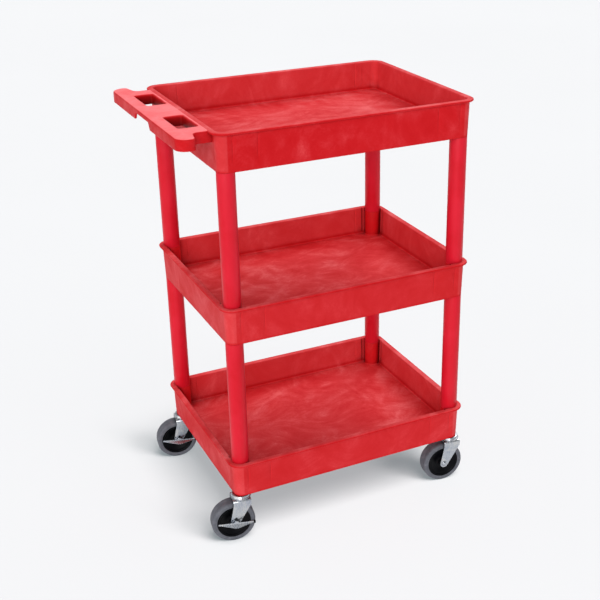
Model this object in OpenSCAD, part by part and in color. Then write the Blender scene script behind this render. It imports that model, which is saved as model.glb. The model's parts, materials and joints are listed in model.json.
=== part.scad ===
// Three-tub utility cart with a moulded push handle and four swivel casters.
// +X points away from the handle, +Y to the left of a person pushing, Z = 0 is the floor.

/* [Tubs] */
// Length of a tub over its rim
tub_length = 609.6; // [560:0.1:680]
// Width of a tub over its rim
tub_width = 465; // [420:1:520]
// Height of a tub from its rim to the bottom of its skirt
tub_height = 85; // [80:1:95]
// Depth of a tub from its rim to its floor
tub_depth = 69; // [60:1:72]
// Thickness of a tub floor
floor_t = 5; // [4:0.5:6]
// Width that the rim stands out past the legs
rim_over = 10.8; // [8:0.1:14]
// Thickness of the rim lip
lip_t = 5.5; // [4.5:0.5:7]
// Height from one tub to the next
tub_pitch = 382.6; // [300:0.1:420]
// Height of the bottom tub's skirt above the floor
skirt_z = 120.3; // [118:0.1:130]

/* [Legs] */
// Outer radius of a leg tube
leg_r = 19.7; // [18:0.1:22]
// Wall thickness of a leg tube
leg_wall = 4; // [3:0.5:5]
// Radial play between a spigot and the leg tube on it
spigot_play = 0.08; // [0.04:0.01:0.1]
// Length of each spigot inside a leg tube
spigot_len = 32; // [20:1:40]

/* [Handle] */
// Reach of the handle past the tub rim
handle_reach = 75.2; // [60:0.1:90]
// Half width of the handle over its ears
ear_y = 235; // [225:1:245]
// Half width of the neck between an ear and the tub
neck_y = 193; // [180:1:200]
// Depth of the handle's outer skirt
handle_skirt = 25; // [20:1:30]
// Width of the bar outside the hand holes
grip_bar = 30; // [26:1:34]
// Length of a hand hole along the bar
hand_hole = 98; // [85:1:105]
// Half width of the bridge between the hand holes
bridge_y = 53; // [50:1:60]

/* [Casters] */
// Wheel diameter
wheel_d = 101.6; // [95:0.1:105]
// Wheel tread width
wheel_w = 31.75; // [28:0.05:34]
// How far the swivel axes stand outside the leg axes, along the cart
caster_out = 4; // [0:0.5:4]
// Distance from the swivel axis back to the axle
trail = 21; // [20:0.5:26]
// Swivel angle of the two handle-end casters at rest
rear_swivel = -9; // [-90:1:90]
// Swivel angle of the two far-end casters at rest
front_swivel = -6; // [-90:1:90]
// Half distance between the outer faces of the fork legs
fork_y = 22.6; // [21.5:0.1:24]
// Thickness of the fork steel
fork_t = 2.6; // [2:0.1:3]
// Half length of the brake lever
lever_half = 42; // [38:1:44]

/* [Hidden] */
$fn = 96;

TUB_RED = "#cf2029";
LEG_RED = "#d21f2e";
STEEL = "#b9bcc2";
BLACK = "#17171b";
TYRE_GREY = "#5c5d64";

// Half spacings of the legs; rim corners are arcs about the leg axes.
leg_x = tub_length / 2 - leg_r - rim_over;
leg_y = tub_width / 2 - leg_r - rim_over;
// The handle makes the cart longer at its -X end, so the tubs sit forward of the origin.
tub_shift = handle_reach / 2;
low_rim_z = skirt_z + tub_height;
mid_rim_z = low_rim_z + tub_pitch;
top_rim_z = mid_rim_z + tub_pitch;

// Tub wall section, as distances out from the rectangle through the leg axes.
wall_out_top = leg_r + 2.6;
wall_in_top = 15.8;
wall_in_bottom = 13.8;
rim_round = 3.5;
floor_fillet = 4;
floor_in = wall_in_bottom - floor_fillet;
skirt_t = 5;
rim_out = leg_r + rim_over;
floor_under = tub_depth + floor_t;

// Shallow upright grooves in the long walls, and deeper ones beside each corner post.
groove_out_x = [210, 264];
groove_out_r = 2;
groove_out_foot = 72;
groove_in_x = 231;
groove_in_r = 1.8;
post_groove_r = 3;
post_groove_gap = 2;

leg_in_r = leg_r - leg_wall;
spigot_r = leg_in_r - spigot_play;
post_bore_r = 12.5;
post_drop = 4;
post_solid = 30;
boss_r = leg_r - 0.8;
rib_t = 3;
rib_h = 7;
rib_run = 12;
long_ribs = [-0.55, 0, 0.55];
cross_ribs = [-0.7, -0.35, 0, 0.35, 0.7];

// Handle deck, its skirt and the webs round its hand holes.
handle_x = -tub_length / 2 - handle_reach;
deck_t = 5;
web_t = 4;
hole_web_t = 3;
hole_web_h = 21;
ear_r = 24;
ear_in_r = 11;
neck_r = 12;
ear_flat = 3.5;
ear_slope = 12;
hole_r = 5;
hole_x = handle_x + grip_bar;
hole_w = 41;
gap_y = bridge_y - 5;
deck_root_x = -leg_x - wall_out_top + 2;
neck_rib_in = 12;

// Caster sizes, with heights above the floor.
axle_z = wheel_d / 2;
tread_r = wheel_d / 2;
core_r = 39.5;
hub_r = 11.5;
stem_r = 5.55;
pin_play = 0.08;
socket_len = 44;
stem_top = skirt_z + socket_len - 4;
ring_z = stem_top - 10;
crown_top = 110.8;
cap_r = 23.5;
cap_top = 119.3;
race_r = 18.4;
ball_r = 2.2;
ball_count = 16;
ball_ring_r = 14.6;
ball_seat = 4.4;
rivet_r = 8;
rivet_z = crown_top - fork_t - 2.2;
shoulder_r = 8.6;
head_r = 6.6;
head_t = 1.8;
nut_r = 7.2;
nut_dome_r = 5.6;
race_top = crown_top + 1.2;
ball_z = race_top + ball_r;
bolt_r = 3.97;
bushing_r = 6.35;
fork_in = fork_y - fork_t;
leg_back = -trail - 0.5;
leg_front = 20;
leg_square = 13;
foot_r = 10;
bend_r = 5;
cam_y = fork_y + 0.2;
cam_w = 12.5;
lever_t = 1.8;
brake_nut_y = cam_y + lever_t + 0.1;
brake_nut_h = 3.6;
lever_y = brake_nut_y + brake_nut_h + 0.4;
pedal_x = 3;
pedal_up = 6.2;
pedal_tilt = -4.4;
tread_drop = 40;
lens = 11;
plain_nut_y = fork_y + 0.1;
plain_nut_h = 5.6;
plain_grip = plain_nut_y + plain_nut_h + 1;
brake_grip = brake_nut_y + brake_nut_h + 0.1;

// Points of an arc, from one angle to another.
function arc(cx, cy, r, from, to, steps = 8) =
    [for (i = [0:steps]) let (a = from + (to - from) * i / steps) [cx + r * cos(a), cy + r * sin(a)]];

// Distance out to the outer wall face at a depth below the rim.
function wall_out(depth) = wall_out_top - (wall_out_top - leg_r) * depth / tub_height;

// Distance out to the inner wall face at a depth below the rim.
function wall_in(depth) = wall_in_top - (wall_in_top - wall_in_bottom) * depth / tub_depth;

// Direction from a circle's centre to where a line from point p touches it.
function touch_angle(p, c, r, side) =
    let (d = p - c) atan2(d[1], d[0]) + side * acos(r / norm(d));

// Rounded rectangle, as points.
function round_box(x0, x1, y0, y1, r) = concat(
    arc(x1 - r, y1 - r, r, 0, 90, 5),
    arc(x0 + r, y1 - r, r, 90, 180, 5),
    arc(x0 + r, y0 + r, r, 180, 270, 5),
    arc(x1 - r, y0 + r, r, 270, 360, 5)
);

module at_tub(rim_z) {
    translate([tub_shift, 0, rim_z]) children();
}

module at_legs() {
    for (sx = [-1, 1], sy = [-1, 1]) translate([sx * leg_x, sy * leg_y, 0]) children();
}

// The swivel axis at each corner.
module at_casters() {
    for (sx = [-1, 1], sy = [-1, 1]) translate([sx * (leg_x + caster_out), sy * leg_y, 0]) children();
}

module at_leg(sx, sy) {
    translate([tub_shift + sx * leg_x, sy * leg_y, 0]) children();
}

module at_caster(sx, sy) {
    translate([tub_shift + sx * (leg_x + caster_out), sy * leg_y, 0]) children();
}

// Each corner's frame: the swivel axis is Z, and the wheel trails to -X.
module front_left() {
    at_caster(1, 1) rotate([0, 0, front_swivel]) children();
}

module front_right() {
    at_caster(1, -1) rotate([0, 0, front_swivel]) children();
}

module rear_left() {
    at_caster(-1, 1) rotate([0, 0, rear_swivel]) children();
}

module rear_right() {
    at_caster(-1, -1) rotate([0, 0, rear_swivel]) children();
}

// The axle's frame: X stays along the wheel, Y is up and Z points out along the axle.
module on_axle() {
    translate([-trail, 0, axle_z]) rotate([90, 0, 0]) children();
}

// Section of a tub wall: rim lip, inner round, floor fillet and skirt.
module wall_section() {
    polygon(concat(
        arc(wall_in(rim_round) + rim_round, -rim_round, rim_round, 180, 90, 5),
        arc(rim_out - lip_t / 2, -lip_t / 2, lip_t / 2, 90, -90, 8),
        [
            [wall_out(lip_t), -lip_t],
            [leg_r, -tub_height],
            [leg_r - skirt_t, -tub_height],
            [leg_r - skirt_t, -floor_under],
            [floor_in, -floor_under],
            [floor_in, -tub_depth]
        ],
        arc(floor_in, floor_fillet - tub_depth, floor_fillet, -75, -2, 5)
    ));
}

// Open tub with its rim at z = 0: four walls, four round corners and the floor.
module tub_shell() {
    for (turn = [0:3]) {
        long_wall = turn % 2 == 1;
        out = long_wall ? leg_y : leg_x;
        run = long_wall ? leg_x : leg_y;
        rotate([0, 0, 90 * turn]) {
            translate([out, 0, 0]) rotate([90, 0, 0])
                linear_extrude(height = 2 * run, center = true) wall_section();
            translate([out, run, 0]) rotate_extrude(angle = 90) wall_section();
        }
    }
    slab = floor_in + 2;
    translate([-leg_x - slab, -leg_y, -floor_under]) cube([2 * (leg_x + slab), 2 * leg_y, floor_t]);
    translate([-leg_x, -leg_y - slab, -floor_under]) cube([2 * leg_x, 2 * (leg_y + slab), floor_t]);
    at_legs() translate([0, 0, -floor_under]) cylinder(r = slab, h = floor_t);
}

// Ribs under a tub floor.
module floor_ribs() {
    for (y = long_ribs)
        translate([-leg_x - rib_run, y * leg_y - rib_t / 2, -floor_under - rib_h])
            cube([2 * (leg_x + rib_run), rib_t, rib_h + 1]);
    for (x = cross_ribs)
        translate([x * leg_x - rib_t / 2, -leg_y - rib_run, -floor_under - rib_h])
            cube([rib_t, 2 * (leg_y + rib_run), rib_h + 1]);
}

// Upright grooves that the mould leaves in the long walls.
module wall_grooves() {
    for (sx = [-1, 1], sy = [-1, 1]) {
        for (x = groove_out_x)
            translate([sx * x, sy * (leg_y + wall_out(groove_out_foot - 4) + groove_out_r), 0])
                translate([0, 0, -groove_out_foot])
                    cylinder(r = groove_out_r, h = groove_out_foot - lip_t);
        translate([sx * groove_in_x, sy * (leg_y + wall_in_bottom), -tub_depth + 3])
            cylinder(r = groove_in_r, h = tub_depth);
    }
}

// Deep grooves between a corner post and the walls beside it.
module post_grooves() {
    for (sx = [-1, 1], sy = [-1, 1]) {
        beside = leg_r + post_groove_gap;
        into = wall_in_bottom + 1;
        translate([sx * (leg_x - beside), sy * (leg_y + into), -tub_depth + 2])
            cylinder(r = post_groove_r, h = tub_depth);
        translate([sx * (leg_x + into), sy * (leg_y - beside), -tub_depth + 2])
            cylinder(r = post_groove_r, h = tub_depth);
    }
}

// Corner post inside a tub, with the spigot that the leg above slides on.
module corner_post() {
    translate([0, 0, -floor_under]) cylinder(r = leg_r, h = floor_under - post_drop);
    translate([0, 0, -floor_under]) cylinder(r = spigot_r, h = floor_under - post_drop + spigot_len);
}

// Boss under a tub corner, with the spigot that goes down into the leg below.
module under_boss(reach) {
    translate([0, 0, -tub_height]) cylinder(r = boss_r, h = tub_height - floor_under + 1);
    translate([0, 0, -tub_height - reach]) cylinder(r = spigot_r, h = reach + 1);
}

// Seat for the leg tube at the rim of a tub with corner posts.
module leg_seat() {
    difference() {
        translate([0, 0, -post_drop]) cylinder(r = leg_r + 0.1, h = 10);
        translate([0, 0, -post_drop - 1]) cylinder(r = spigot_r, h = 12);
    }
}

// Outline of the handle deck, drawn in by d all round.
module handle_outline(d) {
    ear_x = handle_x + ear_r + ear_flat;
    neck_cy = neck_y + neck_r;
    neck_x = ear_x + ((ear_y - ear_in_r - neck_cy) * sin(ear_slope) + ear_in_r + neck_r) / cos(ear_slope);
    half = concat(
        [[deck_root_x, neck_y - d]],
        arc(neck_x, neck_cy, neck_r + d, 270, 180 + ear_slope, 6),
        arc(ear_x, ear_y - ear_in_r, ear_in_r - d, ear_slope, 90, 6),
        arc(handle_x + ear_r, ear_y - ear_r, ear_r - d, 90, 180, 8)
    );
    for (side = [0, 1]) mirror([0, side])
        polygon(concat(half, [[handle_x + d, -1], [deck_root_x, -1]]));
}

module hand_hole(grow) {
    polygon(round_box(
        hole_x - grow, hole_x + hole_w + grow,
        bridge_y - grow, bridge_y + hand_hole + grow, hole_r + grow
    ));
}

module both_hand_holes(grow) {
    for (side = [0, 1]) mirror([0, side]) hand_hole(grow);
}

// Push handle: flat deck with two ears, a turned-down skirt and two hand holes.
module handle() {
    difference() {
        union() {
            translate([0, 0, -deck_t]) linear_extrude(height = deck_t) handle_outline(0);
            translate([0, 0, -handle_skirt]) linear_extrude(height = handle_skirt - 1) difference() {
                handle_outline(0);
                handle_outline(web_t);
                translate([handle_x - 1, -gap_y]) square([grip_bar, 2 * gap_y]);
                translate([deck_root_x - 6, web_t - neck_y]) square([20, 2 * (neck_y - web_t)]);
            }
            translate([0, 0, -hole_web_h]) linear_extrude(height = hole_web_h - 1)
                both_hand_holes(hole_web_t);
            for (y = [-1, 1] * (neck_y - neck_rib_in))
                translate([hole_x + hole_w, y - rib_t / 2, -handle_skirt])
                    cube([deck_root_x - hole_x - hole_w, rib_t, handle_skirt - 1]);
        }
        translate([0, 0, -handle_skirt - 5]) linear_extrude(height = handle_skirt + 10) both_hand_holes(0);
    }
}

module top_tub() {
    color(TUB_RED) at_tub(top_rim_z) difference() {
        union() {
            tub_shell();
            floor_ribs();
            at_legs() under_boss(spigot_len);
            handle();
        }
        wall_grooves();
        at_legs() under_bore(spigot_len, -floor_under);
    }
}

// Shelf tub with corner posts and, under each corner, a boss whose spigot reaches down.
module post_tub(reach) {
    difference() {
        union() {
            difference() {
                tub_shell();
                post_grooves();
            }
            floor_ribs();
            at_legs() corner_post();
            at_legs() under_boss(reach);
        }
        wall_grooves();
        at_legs() leg_seat();
        at_legs() translate([0, 0, post_solid - tub_depth])
            cylinder(r = post_bore_r, h = tub_depth + spigot_len);
    }
}

// Bore up into the underside of each corner, from below its spigot or boss.
module under_bore(reach, top) {
    low = -tub_height - reach - 1;
    translate([0, 0, low]) cylinder(r = post_bore_r, h = top - low);
}

module middle_tub() {
    color(TUB_RED) at_tub(mid_rim_z) difference() {
        post_tub(spigot_len);
        at_legs() under_bore(spigot_len, -floor_under);
    }
}

module bottom_tub() {
    color(TUB_RED) at_tub(low_rim_z) difference() {
        post_tub(0);
        at_casters() under_bore(0, socket_len - tub_height);
    }
}

// Leg tube between the posts of one tub and the underside of the next.
module leg_tube(rim_z) {
    length = tub_pitch - tub_height + post_drop;
    color(LEG_RED) translate([0, 0, rim_z - post_drop]) difference() {
        cylinder(r = leg_r, h = length);
        translate([0, 0, -1]) cylinder(r = leg_in_r, h = length + 2);
    }
}

// Sleeve that takes the caster stem, pressed up into the bottom tub's corner.
module socket() {
    color(BLACK) translate([0, 0, skirt_z]) difference() {
        cylinder(r = post_bore_r, h = socket_len - 1);
        translate([0, 0, -1]) cylinder(r = stem_r + 0.1, h = socket_len + 1);
    }
}

// Split spring ring in the stem's groove.
module grip_ring() {
    color(STEEL) translate([0, 0, ring_z]) difference() {
        cylinder(r = stem_r + 0.05, h = 3);
        translate([0, 0, -1]) cylinder(r = stem_r - 1, h = 5);
        translate([0, -0.6, -1]) cube([10, 1.2, 5]);
    }
}

// Stem and kingpin in one, with a shoulder against the tub and a rivet head under the fork.
module stem() {
    color(STEEL) rotate_extrude() polygon([
        [0, rivet_z], [rivet_r - 0.4, rivet_z], [rivet_r, rivet_z + 0.5],
        [rivet_r, crown_top - fork_t - 0.1], [stem_r, crown_top - fork_t - 0.1],
        [stem_r, cap_top], [shoulder_r, cap_top], [shoulder_r, skirt_z],
        [stem_r, skirt_z], [stem_r, ring_z - 0.1], [stem_r - 1.1, ring_z - 0.1],
        [stem_r - 1.1, ring_z + 3.1], [stem_r, ring_z + 3.1], [stem_r, stem_top - 2],
        [stem_r - 2, stem_top], [0, stem_top]
    ]);
}

// Upper ball race: a pressed steel cup, fixed to the stem.
module race_cap() {
    color(STEEL) rotate_extrude() polygon([
        [stem_r + 0.02, cap_top], [stem_r + 0.02, ball_z + ball_r + 0.05],
        [ball_ring_r + 3.2, ball_z + ball_r + 0.05], [ball_ring_r + ball_seat, ball_z],
        [ball_ring_r + ball_seat, crown_top + 0.6], [cap_r, crown_top + 0.6], [cap_r, crown_top + 2.2],
        [cap_r - 1.2, crown_top + 2.8], [cap_r - 1.6, cap_top - 1.4], [cap_r - 3.2, cap_top]
    ]);
}

module swivel_balls() {
    color(STEEL) for (i = [0:ball_count - 1])
        rotate([0, 0, 360 * i / ball_count])
            translate([ball_ring_r, 0, ball_z]) sphere(r = ball_r - 0.02, $fn = 24);
}

// Side view of a fork leg: square at the crown, tapering back to a round foot at the axle.
module fork_side() {
    foot = [-trail, axle_z];
    back = [leg_back, crown_top - leg_square];
    front = [leg_front, crown_top - leg_square];
    foot_from = touch_angle(back, foot, foot_r, 1);
    foot_to = touch_angle(front, foot, foot_r, -1);
    polygon(concat(
        [[leg_front, crown_top + 1], [leg_back, crown_top + 1], back],
        arc(foot[0], foot[1], foot_r, foot_from, foot_to + 360, 12),
        [front]
    ));
}

// End view of the fork: an upside-down U with bent shoulders.
module fork_end(y, top, r) {
    polygon(concat(
        [[-y, 20], [y, 20]],
        arc(y - r, top - r, r, 0, 90, 6),
        arc(-y + r, top - r, r, 90, 180, 6)
    ));
}

module fork() {
    color(STEEL) difference() {
        union() {
            intersection() {
                rotate([90, 0, 90]) linear_extrude(height = 90, center = true) difference() {
                    fork_end(fork_y, crown_top, bend_r);
                    fork_end(fork_in, crown_top - fork_t, bend_r - fork_t);
                }
                rotate([90, 0, 0]) linear_extrude(height = 60, center = true) fork_side();
            }
            translate([0, 0, crown_top - fork_t]) cylinder(r = cap_r - 0.6, h = fork_t);
            translate([0, 0, crown_top - 1]) cylinder(r = race_r, h = race_top - crown_top + 1);
        }
        translate([0, 0, crown_top - 10]) cylinder(r = stem_r + pin_play, h = 20);
        on_axle() cylinder(r = bolt_r + pin_play, h = 80, center = true);
    }
}

// Tube that the wheel turns on, clamped between the fork legs by the axle bolt.
module bushing() {
    color(STEEL) on_axle() difference() {
        cylinder(r = bushing_r, h = 2 * fork_in - 0.1, center = true);
        cylinder(r = bolt_r + 0.05, h = 80, center = true);
    }
}

// Axle bolt through the fork; its head is on the side where head is 1 or -1 along the axle.
module axle_bolt(head, grip) {
    color(STEEL) on_axle() mirror([0, 0, head < 0 ? 1 : 0]) {
        translate([0, 0, -grip]) cylinder(r = bolt_r, h = grip + fork_y + 1);
        translate([0, 0, fork_y + 0.05]) cylinder(r = head_r, h = head_t);
        translate([0, 0, fork_y + 0.05 + head_t]) rotate_extrude()
            polygon([[0, 0], [head_r, 0], [head_r - 1, 0.9], [head_r / 2, 1.4], [0, 1.5]]);
    }
}

// Hexagon lock nut, its inner face at the given distance out along the axle.
module axle_nut(side, from, height) {
    color(STEEL) on_axle() mirror([0, 0, side < 0 ? 1 : 0]) translate([0, 0, from]) difference() {
        union() {
            cylinder(r = nut_r, h = height * 0.75, $fn = 6);
            cylinder(r = nut_dome_r, h = height);
        }
        translate([0, 0, -1]) cylinder(r = bolt_r + 0.03, h = height + 2);
    }
}

// Moulded wheel body: hub, dished web and the rim that carries the tyre.
module wheel_core() {
    half = wheel_w / 2;
    right = [
        [bushing_r + 0.07, fork_in - 0.7], [hub_r - 1, fork_in - 0.7], [hub_r, fork_in - 1.7],
        [hub_r, half - 4.4], [hub_r + 2, half - 5], [core_r - 6, half - 3.2], [core_r - 4.6, half - 1.6],
        [core_r - 3.4, half - 0.9], [core_r, half - 0.9]
    ];
    color(BLACK) on_axle() rotate_extrude()
        polygon(concat(right, [for (i = [len(right) - 1:-1:0]) [right[i][0], -right[i][1]]]));
}

// Soft tread ring on the wheel body, with rounded shoulders.
module tyre() {
    half = wheel_w / 2;
    shoulder = 5;
    color(TYRE_GREY) on_axle() rotate_extrude() polygon(concat(
        [[core_r, -half + 0.4], [core_r, half - 0.4]],
        arc(core_r + 1.2, half - 1.2, 1.2, 90, 60, 1),
        arc(tread_r - shoulder, half - shoulder, shoulder, 80, 5, 7),
        [[tread_r, half - 7.5], [tread_r, 7.5 - half]],
        arc(tread_r - shoulder, shoulder - half, shoulder, -5, -80, 7),
        arc(core_r + 1.2, 1.2 - half, 1.2, -60, -90, 1)
    ));
}

// Side view of the pedal plate, in its own frame: straight edges and a hump over the axle.
module pedal_side() {
    hump = 5.4;
    hump_r = 6.7;
    foot = 14;
    polygon(concat(
        [[-lever_half, -2], [lever_half, -2], [lever_half, 1.6], [foot, 1.6]],
        arc(0, hump - hump_r, hump_r, 20, 160, 8),
        [[-foot, 1.6], [-lever_half, 1.6]]
    ));
}

// Tread of the pedal: a plate that widens to a point in the middle.
module pedal_tread() {
    half = lever_half - 3;
    linear_extrude(height = lever_t) polygon([
        [-half, -1], [half, -1], [half, 1.2], [half * 0.45, lens * 0.62], [3, lens], [-3, lens],
        [-half * 0.45, lens * 0.62], [-half, 1.2]
    ]);
}

// Places the pedal plate on the lever: above the axle, further forward than back, tip down.
module at_pedal() {
    translate([pedal_x, pedal_up, lever_y]) rotate([0, 0, pedal_tilt]) children();
}

// Side brake pedal: a cam plate on the axle, and outside its nut a humped plate with a tread.
module brake_lever() {
    arm_low = -3;
    arm_high = pedal_up + 1.5;
    color(STEEL) on_axle() difference() {
        union() {
            translate([0, 0, cam_y]) linear_extrude(height = lever_t) {
                circle(r = 9.5);
                translate([-cam_w, arm_low]) square([2 * cam_w, arm_high - arm_low]);
            }
            for (x = [-cam_w, cam_w - lever_t])
                translate([x, arm_low, cam_y]) cube([lever_t, arm_high - arm_low, lever_y - cam_y + 0.5]);
            at_pedal() linear_extrude(height = lever_t) pedal_side();
            at_pedal() translate([0, -0.6, 1]) rotate([90 + tread_drop, 0, 0]) pedal_tread();
        }
        cylinder(r = bolt_r + pin_play, h = lever_y - 0.2);
        translate([0, 0, cam_y + lever_t]) cylinder(r = nut_r + 0.5, h = lever_y - cam_y - lever_t - 0.05);
    }
}

// Plastic tip over the leading end of the brake pedal.
module lever_tip() {
    color(BLACK) on_axle() at_pedal() difference() {
        translate([lever_half - 2.4, -3.4, -1.6]) cube([4.4, 6.4, lever_t + 3.2]);
        translate([lever_half - 20, -2.1, -0.1]) cube([20.1, 3.8, lever_t + 0.2]);
    }
}

top_tub();
middle_tub();
bottom_tub();
at_leg(1, 1) leg_tube(mid_rim_z);  // upper_leg_front_left
at_leg(1, -1) leg_tube(mid_rim_z);  // upper_leg_front_right
at_leg(-1, 1) leg_tube(mid_rim_z);  // upper_leg_rear_left
at_leg(-1, -1) leg_tube(mid_rim_z);  // upper_leg_rear_right
at_leg(1, 1) leg_tube(low_rim_z);  // lower_leg_front_left
at_leg(1, -1) leg_tube(low_rim_z);  // lower_leg_front_right
at_leg(-1, 1) leg_tube(low_rim_z);  // lower_leg_rear_left
at_leg(-1, -1) leg_tube(low_rim_z);  // lower_leg_rear_right
front_left() socket();  // socket_front_left
front_right() socket();  // socket_front_right
rear_left() socket();  // socket_rear_left
rear_right() socket();  // socket_rear_right
front_left() grip_ring();  // grip_ring_front_left
front_right() grip_ring();  // grip_ring_front_right
rear_left() grip_ring();  // grip_ring_rear_left
rear_right() grip_ring();  // grip_ring_rear_right
front_left() stem();  // stem_front_left
front_right() stem();  // stem_front_right
rear_left() stem();  // stem_rear_left
rear_right() stem();  // stem_rear_right
front_left() race_cap();  // race_cap_front_left
front_right() race_cap();  // race_cap_front_right
rear_left() race_cap();  // race_cap_rear_left
rear_right() race_cap();  // race_cap_rear_right
front_left() swivel_balls();  // swivel_balls_front_left
front_right() swivel_balls();  // swivel_balls_front_right
rear_left() swivel_balls();  // swivel_balls_rear_left
rear_right() swivel_balls();  // swivel_balls_rear_right
front_left() fork();  // fork_front_left
front_right() fork();  // fork_front_right
rear_left() fork();  // fork_rear_left
rear_right() fork();  // fork_rear_right
front_left() bushing();  // bushing_front_left
front_right() bushing();  // bushing_front_right
rear_left() bushing();  // bushing_rear_left
rear_right() bushing();  // bushing_rear_right
front_left() axle_bolt(1, plain_grip);  // axle_bolt_front_left
front_right() axle_bolt(1, plain_grip);  // axle_bolt_front_right
rear_left() axle_bolt(-1, brake_grip);  // axle_bolt_rear_left
rear_right() axle_bolt(-1, brake_grip);  // axle_bolt_rear_right
front_left() axle_nut(-1, plain_nut_y, plain_nut_h);  // axle_nut_front_left
front_right() axle_nut(-1, plain_nut_y, plain_nut_h);  // axle_nut_front_right
rear_left() axle_nut(1, brake_nut_y, brake_nut_h);  // axle_nut_rear_left
rear_right() axle_nut(1, brake_nut_y, brake_nut_h);  // axle_nut_rear_right
front_left() wheel_core();  // wheel_core_front_left
front_right() wheel_core();  // wheel_core_front_right
rear_left() wheel_core();  // wheel_core_rear_left
rear_right() wheel_core();  // wheel_core_rear_right
front_left() tyre();  // tyre_front_left
front_right() tyre();  // tyre_front_right
rear_left() tyre();  // tyre_rear_left
rear_right() tyre();  // tyre_rear_right
rear_left() brake_lever();  // brake_lever_rear_left
rear_right() brake_lever();  // brake_lever_rear_right
rear_left() lever_tip();  // lever_tip_rear_left
rear_right() lever_tip();  // lever_tip_rear_right
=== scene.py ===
"""Red three-tub utility cart: moulded tubs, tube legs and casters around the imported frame."""

import json
import math

import bmesh
import bpy
from mathutils import Matrix, Vector
from mathutils.geometry import tessellate_polygon

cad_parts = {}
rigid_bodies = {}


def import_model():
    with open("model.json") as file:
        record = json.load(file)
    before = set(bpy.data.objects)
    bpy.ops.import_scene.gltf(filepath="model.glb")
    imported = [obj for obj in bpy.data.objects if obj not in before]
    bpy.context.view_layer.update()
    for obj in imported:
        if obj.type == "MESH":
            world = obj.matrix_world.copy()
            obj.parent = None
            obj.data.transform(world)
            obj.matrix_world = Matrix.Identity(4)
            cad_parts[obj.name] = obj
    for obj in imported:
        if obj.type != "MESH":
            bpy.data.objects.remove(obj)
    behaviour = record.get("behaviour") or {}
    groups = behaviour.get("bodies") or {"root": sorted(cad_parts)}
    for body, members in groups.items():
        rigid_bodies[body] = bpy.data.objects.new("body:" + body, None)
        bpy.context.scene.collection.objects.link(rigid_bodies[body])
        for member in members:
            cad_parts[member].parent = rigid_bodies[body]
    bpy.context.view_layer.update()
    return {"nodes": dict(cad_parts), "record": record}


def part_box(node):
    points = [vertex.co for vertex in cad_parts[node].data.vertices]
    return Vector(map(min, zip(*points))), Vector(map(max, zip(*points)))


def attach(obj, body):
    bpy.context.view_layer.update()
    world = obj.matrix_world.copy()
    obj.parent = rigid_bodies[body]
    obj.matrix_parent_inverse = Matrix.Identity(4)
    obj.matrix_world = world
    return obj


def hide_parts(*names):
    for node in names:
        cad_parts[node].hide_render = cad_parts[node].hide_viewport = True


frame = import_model()

# Shapes are in millimetres, and frame_box gives the frame's metres in them too. The materials and
# the studio are in metres.
MM = 0.001
CORNERS = ("front_left", "front_right", "rear_left", "rear_right")
BRAKED = ("rear_left", "rear_right")

# Steps round a full turn, angles in degrees that count as sharp, and the shortest edge kept.
WHEEL_STEPS = 128
TUBE_STEPS = 96
ROUND_STEPS = 64
BOLT_STEPS = 48
SHARP = 38
CAD_SHARP = 32
SLIVER = 0.0005


# ---------------------------------------------------------------- measures from the frame


def frame_box(node):
    """Lowest and highest corner of a CAD node, in millimetres."""
    low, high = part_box(node)
    return low / MM, high / MM


def leg_axis(corner):
    low, high = frame_box("lower_leg_" + corner)
    return Vector(((low.x + high.x) / 2, (low.y + high.y) / 2))


POST_DROP = 4
leg_low, leg_high = frame_box("upper_leg_front_left")
LEG_R = (leg_high.x - leg_low.x) / 2
RIM_Z = {
    "top_tub": frame_box("top_tub")[1].z,
    "middle_tub": leg_low.z + POST_DROP,
    "bottom_tub": frame_box("lower_leg_front_left")[0].z + POST_DROP,
}
TUB_HEIGHT = RIM_Z["top_tub"] - leg_high.z
far_axis = leg_axis("front_left")
near_axis = leg_axis("rear_right")
CENTRE_X = (far_axis.x + near_axis.x) / 2
LEG_X = (far_axis.x - near_axis.x) / 2
LEG_Y = far_axis.y
RIM_OUT = frame_box("bottom_tub")[1].y - LEG_Y
HANDLE_X = frame_box("top_tub")[0].x - CENTRE_X
EAR_Y = frame_box("top_tub")[1].y

# Wall section, as distances out from the rectangle through the leg axes.
TUB_DEPTH = 69
FLOOR_T = 5
FLOOR_UNDER = TUB_DEPTH + FLOOR_T
LIP_T = 5.5
WALL_OUT_TOP = LEG_R + 2.6
WALL_IN_TOP = 15.8
WALL_IN_BOTTOM = 13.8
RIM_ROUND = 3.5
FLOOR_FILLET = 4
SKIRT_T = 5
SKIRT_FILLET = 2


# ---------------------------------------------------------------- mesh helpers


def arc(cx, cy, r, start, end, steps):
    """Points of an arc between two angles in degrees."""
    angles = [math.radians(start + (end - start) * i / steps) for i in range(steps + 1)]
    return [(cx + r * math.cos(a), cy + r * math.sin(a)) for a in angles]


def circle(r, steps):
    turns = [math.tau * i / steps for i in range(steps)]
    return [(r * math.cos(a), r * math.sin(a)) for a in turns]


def smooth(t):
    """Eases from 0 to 1 as t does, and stays there outside that range."""
    t = min(1, max(0, t))
    return t * t * (3 - 2 * t)


def bump(distance, width):
    """1 at a line, falling smoothly to 0 at width either side of it."""
    return 1 - smooth(abs(distance) / width)


def join_rings(bm, rings, closed=False):
    """Quads between neighbouring rings of points. Returns the rings of vertices."""
    made = [[bm.verts.new(p) for p in ring] for ring in rings]
    pairs = list(zip(made, made[1:]))
    if closed:
        pairs.append((made[-1], made[0]))
    for a, b in pairs:
        for i in range(len(a)):
            k = (i + 1) % len(a)
            bm.faces.new((a[i], a[k], b[k], b[i]))
    return made


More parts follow.
